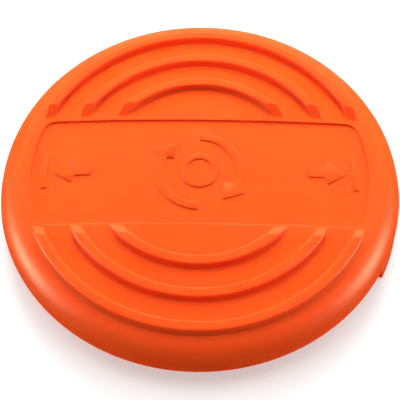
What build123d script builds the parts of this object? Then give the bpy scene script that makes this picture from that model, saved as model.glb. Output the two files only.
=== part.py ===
from build123d import *
import os
from math import cos, radians, sin, sqrt, tan

os.makedirs("parts", exist_ok=True)

# Spool cover of a line trimmer head, one moulding in plastic, lying with its outside up.
# Its lowest faces are at height 0, its axis is Z and the panel's long way is X.

# Crown: a very shallow dome, with a steeper shoulder that rounds over into the drafted rim
outer_diameter = 88.0
crown_height = 7.1
dome_radius = 444.0
shoulder_radius = 38.2
shoulder_slope = 9.0
rim_round = 6.0
rim_draft = 15.0
wall = 2.2

# Arched ridges on the crown, in two groups with the panel between them
ridge_count = 3
ridge_radius = 37.08
ridge_pitch = 7.16
ridge_top = 1.95
ridge_height = 1.5
ridge_draft = 17.0
ridge_edge = 0.2
ridge_root = 0.6
ramp_gap = 0.35
ramp_run = 2.7
ramp_toe = 0.2
ramp_shift = 0.4

# Panel: a shallow bed across the middle, a little nearer to the -Y side
panel_width = 26.5
panel_radius = 36.8
panel_offset = -0.4
panel_corner = 3.0
panel_depth = 0.5

# Plug ring that centres the cover in the head, and the slot around it for the head's wall
plug_radius = 40.0
plug_wall = 2.0
plug_depth = 6.0
plug_lead = 0.6
head_wall = 1.6
head_clearance = 0.2
slot_depth = 1.8
ceiling_corner = 1.0

# Hub over the spindle's end, with ribs from it to the plug ring
hub_bore = 10.0
hub_wall = 2.0
hub_clear = 3.0
rib_count = 6
rib_wall = 1.5
rib_drop = 3.4

# Two snap tabs below the rim, opposite each other
tab_count = 2
tab_start = -27.0
tab_span = 44.0
tab_wall = 1.7
tab_inset = 0.1
tab_flare = 0.3
tab_corner = 1.5
tab_root = 1.0
catch_span = 20.0
catch_reach = 0.8
catch_height = 2.2
catch_rise = 1.0

outer_radius = outer_diameter / 2
lip_z = plug_depth
apex_z = lip_z + crown_height
dome_centre_z = apex_z - dome_radius
dome_centre = (0, 0, dome_centre_z)
across = (0, 90, 0)  # lays a ball's poles along X, clear of the crown
slot_radius = plug_radius + head_wall + head_clearance
above = apex_z + ridge_height + wall


def crown_z(radius):
    """Height of the plain crown at a distance from the axis."""
    return dome_centre_z + sqrt(dome_radius**2 - radius**2)


def upright(turn):
    """Upright half plane through the axis, its first direction turned about Z."""
    return Plane(
        origin=(0, 0, 0),
        x_dir=(cos(radians(turn)), sin(radians(turn)), 0),
        z_dir=(sin(radians(turn)), -cos(radians(turn)), 0),
    )


# Ridges: a drafted section with broken top edges turned about the axis, then parted at the
# middle by a trough whose sloping sides leave a ramp at each end of both arcs; beside a ramp
# the walls keep their draft, so it is as wide at its toe as at its head, and it runs straighter
# than the arc, with its toe a little nearer to the middle
ridge_lean = tan(radians(ridge_draft))
ridge_spread = ridge_lean * (ridge_height + ridge_root)
ramp_slope = ramp_run / ridge_height
ramp_foot = panel_width / 2 + abs(panel_offset) + ramp_gap
ramp_head = ramp_foot + ramp_run
ramp_reach = ramp_run + ridge_height + ridge_root


def ramp_wall(edge_radius, outward):
    """Plane through a ramp's edge and the foot of the full wall, facing away from the ridge."""
    head_x = sqrt(edge_radius**2 - ramp_head**2)
    toe_x = sqrt(edge_radius**2 - ramp_foot**2) - ramp_shift
    toe = Vector(toe_x, ramp_foot, crown_z(edge_radius))
    head = Vector(head_x, ramp_head, crown_z(edge_radius) + ridge_height)
    lean = outward * ridge_lean * ridge_height / edge_radius
    foot = head + Vector(head_x * lean, ramp_head * lean, -ridge_height)
    return Plane(origin=toe, x_dir=head - toe, z_dir=(foot - toe).cross(head - toe) * outward)


ridges = []
for number in range(ridge_count):
    middle = ridge_radius - number * ridge_pitch
    inner = middle - ridge_top / 2
    outer = middle + ridge_top / 2
    foot_z = crown_z(middle)
    toe_y = ramp_foot - ramp_toe * ramp_slope
    high_y = ramp_foot + above * ramp_slope
    with BuildPart() as relief:
        for edge_radius, outward in ((inner, -1), (outer, 1)):
            with BuildSketch(ramp_wall(edge_radius, outward)):
                Rectangle(2 * ramp_reach, 2 * ramp_reach)
            extrude(amount=ridge_pitch / 2)
        mirror(about=Plane.YZ)
        mirror(about=Plane.XZ)
    with BuildPart() as ridge:
        with BuildSketch(Plane.XZ) as ridge_section:
            with BuildLine():
                Polyline(
                    (inner - ridge_spread, crown_z(inner) - ridge_root),
                    (inner, crown_z(inner) + ridge_height),
                    (outer, crown_z(outer) + ridge_height),
                    (outer + ridge_spread, crown_z(outer) - ridge_root),
                    close=True,
                )
            make_face()
            chamfer(ridge_section.vertices().sort_by(Axis.Y)[-2:], ridge_edge)
        revolve(axis=Axis.Z)
        with BuildSketch(Plane.YZ):
            with BuildLine():
                Polyline(
                    (-toe_y, lip_z),
                    (toe_y, lip_z),
                    (toe_y, foot_z - ramp_toe),
                    (high_y, foot_z + above),
                    (-high_y, foot_z + above),
                    (-toe_y, foot_z - ramp_toe),
                    close=True,
                )
            make_face()
        extrude(amount=outer_radius, both=True, mode=Mode.SUBTRACT)
        add(relief.part, mode=Mode.SUBTRACT)
    ridges.append(ridge.part)

# Panel bed: straight long edges and round ends, with a bottom that keeps the dome
with BuildPart() as panel_bed:
    with BuildSketch(Plane.XY.offset(lip_z)) as panel_outline:
        with Locations((0, panel_offset)):
            Circle(panel_radius)
            Rectangle(outer_diameter, panel_width, mode=Mode.INTERSECT)
        fillet(panel_outline.vertices(), panel_corner)
    extrude(amount=above)
    with Locations(dome_centre):
        Sphere(dome_radius - panel_depth, rotation=across, mode=Mode.SUBTRACT)

# Hollow under the crown: an even wall below the dome, with the hub and the ribs left standing
hollow_radius = plug_radius - plug_wall
corner_z = crown_z(hollow_radius) - wall - ceiling_corner
with BuildPart() as hollow:
    with BuildSketch(Plane.XZ):
        with BuildLine():
            Polyline(
                (0, -wall),
                (hollow_radius, -wall),
                (hollow_radius, corner_z),
                (hollow_radius - above, corner_z + above),
                (0, corner_z + above),
                close=True,
            )
        make_face()
    revolve(axis=Axis.Z)
    with Locations(dome_centre):
        Sphere(dome_radius - wall, rotation=across, mode=Mode.INTERSECT)
    with BuildSketch(Plane.XY.offset(apex_z - wall - rib_drop)):
        for number in range(rib_count):
            with Locations(Rotation(0, 0, number * 360 / rib_count)):
                Rectangle(outer_radius, rib_wall, align=(Align.MIN, Align.CENTER))
    extrude(amount=above, mode=Mode.SUBTRACT)
    with BuildSketch(Plane.XY.offset(hub_clear)):
        Circle(hub_bore / 2 + hub_wall)
    extrude(amount=above, mode=Mode.SUBTRACT)
    with BuildSketch(Plane.XY.offset(hub_clear - wall)):
        Circle(hub_bore / 2)
    extrude(amount=apex_z - hub_clear)

# Snap tabs: tongues that flare outward below the rim, each with a catch on its inner face
tabs = []
for number in range(tab_count):
    turn = tab_start + number * 360 / tab_count
    tab_inner = outer_radius - tab_wall
    with BuildPart() as tab:
        with BuildSketch(upright(turn)):
            with BuildLine():
                Polyline(
                    (tab_inner, 0),
                    (outer_radius + tab_flare, 0),
                    (outer_radius - tab_inset, lip_z),
                    (tab_inner + tab_wall / 2, lip_z + tab_root),
                    (tab_inner, lip_z + tab_root),
                    close=True,
                )
            make_face()
        revolve(axis=Axis.Z, revolution_arc=tab_span)
        fillet(tab.faces().sort_by(Axis.Z)[0].edges().filter_by(GeomType.LINE), tab_corner)
        with BuildSketch(upright(turn + (tab_span - catch_span) / 2)):
            with BuildLine():
                Polyline(
                    (tab_inner - catch_reach, catch_height),
                    (tab_inner, catch_height - catch_rise),
                    (tab_inner + tab_wall / 2, catch_height),
                    (tab_inner, catch_height + catch_rise),
                    close=True,
                )
            make_face()
        revolve(axis=Axis.Z, revolution_arc=catch_span)
    tabs.append(tab.part)

# Cover: the crown and rim with the plug ring below, then the hollow, the panel and the ridges
shoulder_fall = tan(radians(shoulder_slope))
rim_lean = tan(radians(rim_draft))
shoulder_z = crown_z(shoulder_radius)
edge_height = shoulder_z - lip_z - (outer_radius - shoulder_radius) * shoulder_fall
corner_height = edge_height / (1 - rim_lean * shoulder_fall)
with BuildPart() as spool_cover:
    with BuildSketch(Plane.XZ) as crown_section:
        with BuildLine():
            Polyline(
                (0, lip_z),
                (outer_radius, lip_z),
                (outer_radius - rim_lean * corner_height, lip_z + corner_height),
                (0, shoulder_z + shoulder_radius * shoulder_fall),
                close=True,
            )
        make_face()
        fillet(crown_section.vertices().sort_by(Axis.X)[-2], rim_round)
    revolve(axis=Axis.Z)
    with Locations(dome_centre):
        Sphere(dome_radius, rotation=across, mode=Mode.INTERSECT)
    with BuildSketch(Plane.XZ):
        with Locations((plug_radius, lip_z - wall)):
            Rectangle(slot_radius - plug_radius, wall + slot_depth, align=(Align.MIN, Align.MIN))
    revolve(axis=Axis.Z, mode=Mode.SUBTRACT)
    with BuildSketch(Plane.XZ) as plug_section:
        Rectangle(plug_radius, lip_z + slot_depth, align=(Align.MIN, Align.MIN))
        chamfer(plug_section.vertices().group_by(Axis.X)[-1].sort_by(Axis.Y)[0], plug_lead)
    revolve(axis=Axis.Z)
    add(hollow.part, mode=Mode.SUBTRACT)
    add(panel_bed.part, mode=Mode.SUBTRACT)
    add(ridges)
    add(tabs)

spool_cover.part.label = "spool_cover"
export_step(spool_cover.part, "parts/spool_cover.step")
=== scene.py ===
from math import cos, radians, sin

import bpy
from mathutils import Matrix, Vector


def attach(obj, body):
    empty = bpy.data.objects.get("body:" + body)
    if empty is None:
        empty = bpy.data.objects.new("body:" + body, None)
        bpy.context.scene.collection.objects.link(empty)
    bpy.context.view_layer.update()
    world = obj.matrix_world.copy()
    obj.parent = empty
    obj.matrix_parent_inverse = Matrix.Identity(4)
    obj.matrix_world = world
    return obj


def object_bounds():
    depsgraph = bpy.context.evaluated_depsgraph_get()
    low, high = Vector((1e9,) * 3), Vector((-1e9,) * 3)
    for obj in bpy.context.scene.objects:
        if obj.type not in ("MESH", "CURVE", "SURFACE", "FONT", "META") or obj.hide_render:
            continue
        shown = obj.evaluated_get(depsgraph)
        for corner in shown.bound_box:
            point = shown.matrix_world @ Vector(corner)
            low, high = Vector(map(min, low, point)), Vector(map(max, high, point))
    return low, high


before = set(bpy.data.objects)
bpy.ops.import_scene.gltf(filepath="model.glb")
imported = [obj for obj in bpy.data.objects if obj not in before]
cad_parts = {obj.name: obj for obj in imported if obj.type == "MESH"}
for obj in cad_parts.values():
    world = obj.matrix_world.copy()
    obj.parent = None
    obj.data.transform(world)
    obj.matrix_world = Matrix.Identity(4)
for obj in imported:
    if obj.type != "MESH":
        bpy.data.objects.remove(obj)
cad_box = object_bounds()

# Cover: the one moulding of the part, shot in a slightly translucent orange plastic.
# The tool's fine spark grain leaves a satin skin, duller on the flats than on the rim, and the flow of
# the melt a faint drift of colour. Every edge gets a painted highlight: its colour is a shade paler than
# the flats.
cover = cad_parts["spool_cover"]
cover_orange = (0.89, 0.128, 0.0180, 1.0)
cover_deep = (0.87, 0.116, 0.0150, 1.0)
# Painted highlight: the paler orange that every edge is mixed towards.
cover_edge_highlight = (0.91, 0.133, 0.0190, 1.0)
flow_scale = 70.0
grain_scale = 4000.0
edge_round = 0.00045
edge_highlight_gain = 6.0
flat_begins = 0.90
flat_full = 0.985


def add_node(tree, kind, inputs=None, **settings):
    """Adds a shader node, with its settings and the values of its unlinked inputs."""
    node = tree.nodes.new(kind)
    for name, value in settings.items():
        setattr(node, name, value)
    for name, value in (inputs or {}).items():
        node.inputs[name].default_value = value
    return node


def moulded_skin_group():
    """Shared skin of moulded plastic: flow marks, spark grain, flats, an edge mask for the painted edge
    highlight, and softened normals.
    """
    group = bpy.data.node_groups.new("moulded_skin", "ShaderNodeTree")
    skin_values = {"Flow Scale": flow_scale, "Grain Scale": grain_scale, "Edge Highlight Gain": edge_highlight_gain}
    for name, value in skin_values.items():
        socket = group.interface.new_socket(name, in_out="INPUT", socket_type="NodeSocketFloat")
        socket.default_value = value
    for name in ("Flow", "Grain", "Flat", "Edge"):
        group.interface.new_socket(name, in_out="OUTPUT", socket_type="NodeSocketFloat")
    group.interface.new_socket("Soft Normal", in_out="OUTPUT", socket_type="NodeSocketVector")
    entry = add_node(group, "NodeGroupInput")
    result = add_node(group, "NodeGroupOutput")
    place = add_node(group, "ShaderNodeTexCoord")

    flow = add_node(group, "ShaderNodeTexNoise", {"Detail": 3.0, "Distortion": 0.6})
    group.links.new(place.outputs["Object"], flow.inputs["Vector"])
    group.links.new(entry.outputs["Flow Scale"], flow.inputs["Scale"])
    group.links.new(flow.outputs["Fac"], result.inputs["Flow"])

    grain = add_node(group, "ShaderNodeTexNoise", {"Detail": 2.0, "Roughness": 0.6})
    group.links.new(place.outputs["Object"], grain.inputs["Vector"])
    group.links.new(entry.outputs["Grain Scale"], grain.inputs["Scale"])
    group.links.new(grain.outputs["Fac"], result.inputs["Grain"])

    facing = add_node(group, "ShaderNodeSeparateXYZ")
    group.links.new(place.outputs["Normal"], facing.inputs["Vector"])
    flat = add_node(group, "ShaderNodeMapRange", {"From Min": flat_begins, "From Max": flat_full})
    group.links.new(facing.outputs["Z"], flat.inputs["Value"])
    group.links.new(flat.outputs["Result"], result.inputs["Flat"])

    soft = add_node(group, "ShaderNodeBevel", {"Radius": edge_round}, samples=8)
    sharp = add_node(group, "ShaderNodeNewGeometry")
    # Edge mask for the painted highlight: where the softened normal turns away from the true one.
    agree = add_node(group, "ShaderNodeVectorMath", operation="DOT_PRODUCT")
    group.links.new(soft.outputs["Normal"], agree.inputs[0])
    group.links.new(sharp.outputs["Normal"], agree.inputs[1])
    turn = add_node(group, "ShaderNodeMath", operation="SUBTRACT", use_clamp=True)
    turn.inputs[0].default_value = 1.0
    group.links.new(agree.outputs["Value"], turn.inputs[1])
    edge = add_node(group, "ShaderNodeMath", operation="MULTIPLY", use_clamp=True)
    group.links.new(turn.outputs["Value"], edge.inputs[0])
    group.links.new(entry.outputs["Edge Highlight Gain"], edge.inputs[1])
    group.links.new(edge.outputs["Value"], result.inputs["Edge"])
    group.links.new(soft.outputs["Normal"], result.inputs["Soft Normal"])
    return group


moulded_skin = moulded_skin_group()


def moulded_plastic(name, grain_depth, roughness_low, roughness_high, flat_dulling):
    """Satin orange plastic whose colour, gloss and relief come from the moulded skin, with a painted
    highlight on its edges.
    """
    material = bpy.data.materials.new(name)
    material.use_nodes = True
    tree = material.node_tree
    tree.nodes.clear()
    skin = add_node(tree, "ShaderNodeGroup", node_tree=moulded_skin)
    drift = add_node(tree, "ShaderNodeMix", {"A": cover_deep, "B": cover_orange}, data_type="RGBA")
    tree.links.new(skin.outputs["Flow"], drift.inputs["Factor"])
    # Painted highlight: the edges are mixed towards the paler orange.
    painted_edge_highlight = add_node(tree, "ShaderNodeMix", {"B": cover_edge_highlight}, data_type="RGBA")
    tree.links.new(skin.outputs["Edge"], painted_edge_highlight.inputs["Factor"])
    tree.links.new(drift.outputs["Result"], painted_edge_highlight.inputs["A"])
    gloss = add_node(
        tree, "ShaderNodeMapRange", {"To Min": roughness_low, "To Max": roughness_high}
    )
    tree.links.new(skin.outputs["Grain"], gloss.inputs["Value"])
    dulling = add_node(tree, "ShaderNodeMath", operation="MULTIPLY_ADD")
    dulling.inputs[1].default_value = flat_dulling
    tree.links.new(skin.outputs["Flat"], dulling.inputs[0])
    tree.links.new(gloss.outputs["Result"], dulling.inputs[2])
    relief = add_node(tree, "ShaderNodeBump", {"Strength": 0.5, "Distance": grain_depth})
    tree.links.new(skin.outputs["Grain"], relief.inputs["Height"])
    tree.links.new(skin.outputs["Soft Normal"], relief.inputs["Normal"])
    plastic = add_node(
        tree,
        "ShaderNodeBsdfPrincipled",
        {
            "IOR": 1.5,
            "Specular IOR Level": 0.55,
            "Subsurface Weight": 1.0,
            "Subsurface Radius": (1.0, 0.2, 0.08),
            "Subsurface Scale": 0.0009,
        },
    )
    tree.links.new(painted_edge_highlight.outputs["Result"], plastic.inputs["Base Color"])
    tree.links.new(dulling.outputs["Value"], plastic.inputs["Roughness"])
    tree.links.new(relief.outputs["Normal"], plastic.inputs["Normal"])
    output = add_node(tree, "ShaderNodeOutputMaterial")
    tree.links.new(plastic.outputs["BSDF"], output.inputs["Surface"])
    return material


cover_plastic = moulded_plastic(
    "cover_plastic", grain_depth=0.000010, roughness_low=0.41, roughness_high=0.49, flat_dulling=0.23
)
cover.data.materials.clear()
cover.data.materials.append(cover_plastic)

# Panel signs: low raised marks on the panel's bed, cut into the mould and so one with the cover.
# Two arrows around the spool's eye give its winding direction, and one at each end points to a tab.
# Their tops come off a polished insert, so they are a little glossier than the grained bed.
sign_plastic = moulded_plastic(
    "sign_plastic", grain_depth=0.000004, roughness_low=0.36, roughness_high=0.42, flat_dulling=0.15
)
panel_offset = -0.0004
sign_height = 0.00030
sign_root = 0.00010
sign_edge = 0.00014
sign_clearance = 0.005
sign_middle = Vector((0, panel_offset, cad_box[1].z + sign_clearance))
weld_reach = 0.00001
smooth_below = radians(40)
arrow_flare = 0.0006
arrow_point = 0.0042
arrow_spread = 2.7


def select_places(sign, chosen):
    """Selects the vertices of a sign whose places pass a test, and no others."""
    bpy.ops.mesh.select_all(action="DESELECT")
    bpy.ops.object.mode_set(mode="OBJECT")
    for vertex in sign.data.vertices:
        vertex.select = chosen(vertex.co)
    bpy.ops.object.mode_set(mode="EDIT")


def join_half_turn():
    """Adds a copy of the sign in hand, turned half round the panel's middle, to its mesh."""
    bpy.ops.mesh.select_all(action="SELECT")
    bpy.ops.mesh.duplicate()
    bpy.ops.transform.rotate(value=radians(180), orient_axis="Z", center_override=sign_middle)


def raise_sign(sign):
    """Lays a flat sign on the bed, gives it height, root and soft edges, and makes it ride the cover."""
    bpy.ops.mesh.select_all(action="SELECT")
    bpy.ops.mesh.remove_doubles(threshold=weld_reach)
    bpy.ops.mesh.select_all(action="DESELECT")
    bpy.ops.object.mode_set(mode="OBJECT")
    for face in sign.data.polygons:
        face.select = face.normal.z < 0
    bpy.ops.object.mode_set(mode="EDIT")
    bpy.ops.mesh.flip_normals()
    bpy.ops.object.mode_set(mode="OBJECT")
    lay = sign.modifiers.new("lay", "SHRINKWRAP")
    lay.target = cover
    lay.wrap_method = "PROJECT"
    lay.use_project_z = True
    lay.use_positive_direction = False
    lay.use_negative_direction = True
    body = sign.modifiers.new("body", "SOLIDIFY")
    body.thickness = sign_height + sign_root
    body.offset = (sign_height - sign_root) / (sign_height + sign_root)
    soft = sign.modifiers.new("soft", "BEVEL")
    soft.width = sign_edge
    soft.segments = 2
    for modifier in ("lay", "body", "soft"):
        bpy.ops.object.modifier_apply(modifier=modifier)
    bpy.ops.object.shade_smooth_by_angle(angle=smooth_below)
    sign.data.materials.append(sign_plastic)
    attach(sign, "root")


ring_radius = 0.0088
ring_band = 0.0019
ring_turn = radians(115)
ring_steps = 20
flare_turn = arrow_flare / ring_radius
point_turn = arrow_point / ring_radius
eye_radius = 0.0043
eye_band = 0.0014
eye_steps = 40
bpy.ops.object.select_all(action="DESELECT")
bpy.ops.mesh.primitive_plane_add(
    size=ring_band, location=sign_middle + Vector((-ring_band / 2, ring_radius, 0))
)
winding_sign = bpy.context.object
winding_sign.name = "winding_sign"
bpy.ops.object.transform_apply()
bpy.ops.object.mode_set(mode="EDIT")
select_places(winding_sign, lambda place: place.x < -ring_band / 2)
bpy.ops.mesh.delete(type="VERT")
bpy.ops.mesh.select_all(action="SELECT")
for steps, turn in ((ring_steps, ring_turn), (1, flare_turn)):
    bpy.ops.mesh.spin(steps=steps, angle=turn, center=sign_middle, axis=(0, 0, 1))
barb_turn = ring_turn + flare_turn
barb_middle = sign_middle + ring_radius * Vector((sin(barb_turn), cos(barb_turn), 0))
bpy.ops.transform.resize(value=(arrow_spread,) * 3, center_override=barb_middle)
bpy.ops.mesh.spin(steps=1, angle=point_turn, center=sign_middle, axis=(0, 0, 1))
bpy.ops.mesh.merge(type="CENTER")
join_half_turn()
bpy.ops.mesh.primitive_circle_add(
    vertices=eye_steps, radius=eye_radius, fill_type="NGON", location=sign_middle
)
bpy.ops.mesh.inset(thickness=eye_band)
bpy.ops.mesh.delete(type="FACE")
raise_sign(winding_sign)

tab_arrow_start = 0.0235
tab_arrow_band = 0.0021
tab_arrow_shaft = 0.0036
tab_bar_gap = 0.0011
tab_bar_width = 0.0014
tab_bar_length = 0.0082
bpy.ops.object.select_all(action="DESELECT")
bpy.ops.mesh.primitive_plane_add(
    size=tab_arrow_band, location=sign_middle + Vector((tab_arrow_start + tab_arrow_band / 2, 0, 0))
)
tab_signs = bpy.context.object
tab_signs.name = "tab_signs"
bpy.ops.object.transform_apply()
bpy.ops.object.mode_set(mode="EDIT")
select_places(tab_signs, lambda place: place.x > tab_arrow_start + tab_arrow_band / 2)
bpy.ops.transform.translate(value=(tab_arrow_shaft - tab_arrow_band, 0, 0))
bpy.ops.mesh.extrude_region_move(TRANSFORM_OT_translate={"value": (arrow_flare, 0, 0)})
barb_middle = sign_middle + Vector((tab_arrow_start + tab_arrow_shaft + arrow_flare, 0, 0))
bpy.ops.transform.resize(value=(1, arrow_spread, 1), center_override=barb_middle)
bpy.ops.mesh.extrude_region_move(TRANSFORM_OT_translate={"value": (arrow_point, 0, 0)})
bpy.ops.mesh.merge(type="CENTER")
bar_middle = barb_middle + Vector((arrow_point + tab_bar_gap + tab_bar_width / 2, 0, 0))
bpy.ops.mesh.primitive_plane_add(size=tab_bar_width, location=bar_middle)
bpy.ops.transform.resize(
    value=(1, tab_bar_length / tab_bar_width, 1), center_override=bar_middle
)
join_half_turn()
raise_sign(tab_signs)

# Floor: a plain pale light table, wide enough to have no edge in any view.
# It is a matt sheet lit from below, and half of its white is this glow, so shadows on it stay pale.
# It is no part of the object.
floor_width = 8.0
floor_sheet_grey = (0.5, 0.5, 0.5, 1.0)
floor_roughness = 0.9
floor_glow_white = (1.0, 1.0, 1.0, 1.0)
floor_glow = 0.5
bpy.ops.object.select_all(action="DESELECT")
bpy.ops.mesh.primitive_plane_add(size=floor_width)
floor = bpy.context.object
floor.name = "floor"
floor_sheet = bpy.data.materials.new("floor_sheet")
floor_sheet.use_nodes = True
sheet_inputs = floor_sheet.node_tree.nodes["Principled BSDF"].inputs
sheet_inputs["Base Color"].default_value = floor_sheet_grey
sheet_inputs["Roughness"].default_value = floor_roughness
sheet_inputs["Emission Color"].default_value = floor_glow_white
sheet_inputs["Emission Strength"].default_value = floor_glow
floor.data.materials.append(floor_sheet)
floor.visible_glossy = False

# Studio light: softboxes behind, overhead and low at both sides light the cover and add no shine.
# Three more boxes give only the shine: a white one behind for the far rim, and a warm one at each
# side for the streaks on the near rim.
object_middle = Vector((0, 0, cad_box[1].z / 2))
lamp_white = (1.0, 1.0, 1.0)
lamp_warm = (1.0, 0.92, 0.66)


def softbox(name, place, width, height, power, shine, tint=lamp_white):
    """A rectangular lamp that faces the object and gives it either only shine or only light."""
    bpy.ops.object.light_add(type="AREA", location=place)
    lamp = bpy.context.object
    lamp.name = name
    lamp.rotation_euler = (object_middle - Vector(place)).to_track_quat("-Z", "Y").to_euler()
    lamp.data.shape = "RECTANGLE"
    lamp.data.size = width
    lamp.data.size_y = height
    lamp.data.energy = power
    lamp.data.color = tint
    lamp.visible_glossy = shine
    lamp.visible_diffuse = not shine


softbox("light_behind", place=(0, 0.57, 0.40), width=0.50, height=0.45, power=8.0, shine=False)
softbox("light_overhead", place=(0, 0.12, 0.62), width=1.40, height=0.50, power=6.0, shine=False)
softbox("strip_behind", place=(0, 0.66, 0.15), width=0.80, height=0.12, power=1.4, shine=True)
for side, outward, streak_power in (("left", -1, 2.6), ("right", 1, 2.2)):
    fill_place = (outward * 0.46, -0.03, 0.05)
    softbox(f"light_{side}", fill_place, width=0.30, height=0.08, power=0.7, shine=False)
    streak_place = (outward * 0.47, -0.04, 0.115)
    softbox(
        f"strip_{side}",
        streak_place,
        width=0.14,
        height=0.21,
        power=streak_power,
        shine=True,
        tint=lamp_warm,
    )
surround_white = (1.0, 1.0, 1.0, 1.0)
surround_strength = 0.02
surround = bpy.data.worlds.new("surround")
surround.use_nodes = True
surround_inputs = surround.node_tree.nodes["Background"].inputs
surround_inputs["Color"].default_value = surround_white
surround_inputs["Strength"].default_value = surround_strength
bpy.context.scene.world = surround
picture_gamma = 0.85
bpy.context.scene.view_settings.view_transform = "Standard"
bpy.context.scene.view_settings.gamma = picture_gamma

# Camera: above and in front of the cover, a little to its right, aimed just short of its middle.
# Its place and its lens were fitted to the rim, the panel and the ridges as the photo shows them.
# The sensor and the lens are in millimetres.
lip_height = 0.006
aim_offset = -0.003865
camera_elevation = radians(59.07)
camera_azimuth = radians(1.76)
camera_roll = radians(-0.944)
camera_distance = 0.2259
camera_sensor = 36.0
camera_lens = 92.37
aim_point = Vector((0, aim_offset, lip_height))
turned = Matrix.Rotation(camera_azimuth, 4, "Z")
tilted = Matrix.Rotation(radians(90) - camera_elevation, 4, "X")
rolled = Matrix.Rotation(camera_roll, 4, "Z")
away = Matrix.Translation((0, 0, camera_distance))
bpy.ops.object.camera_add()
camera = bpy.context.object
camera.name = "camera"
camera.matrix_world = turned @ Matrix.Translation(aim_point) @ tilted @ away @ rolled
camera.data.sensor_width = camera_sensor
camera.data.lens = camera_lens
bpy.context.scene.camera = camera
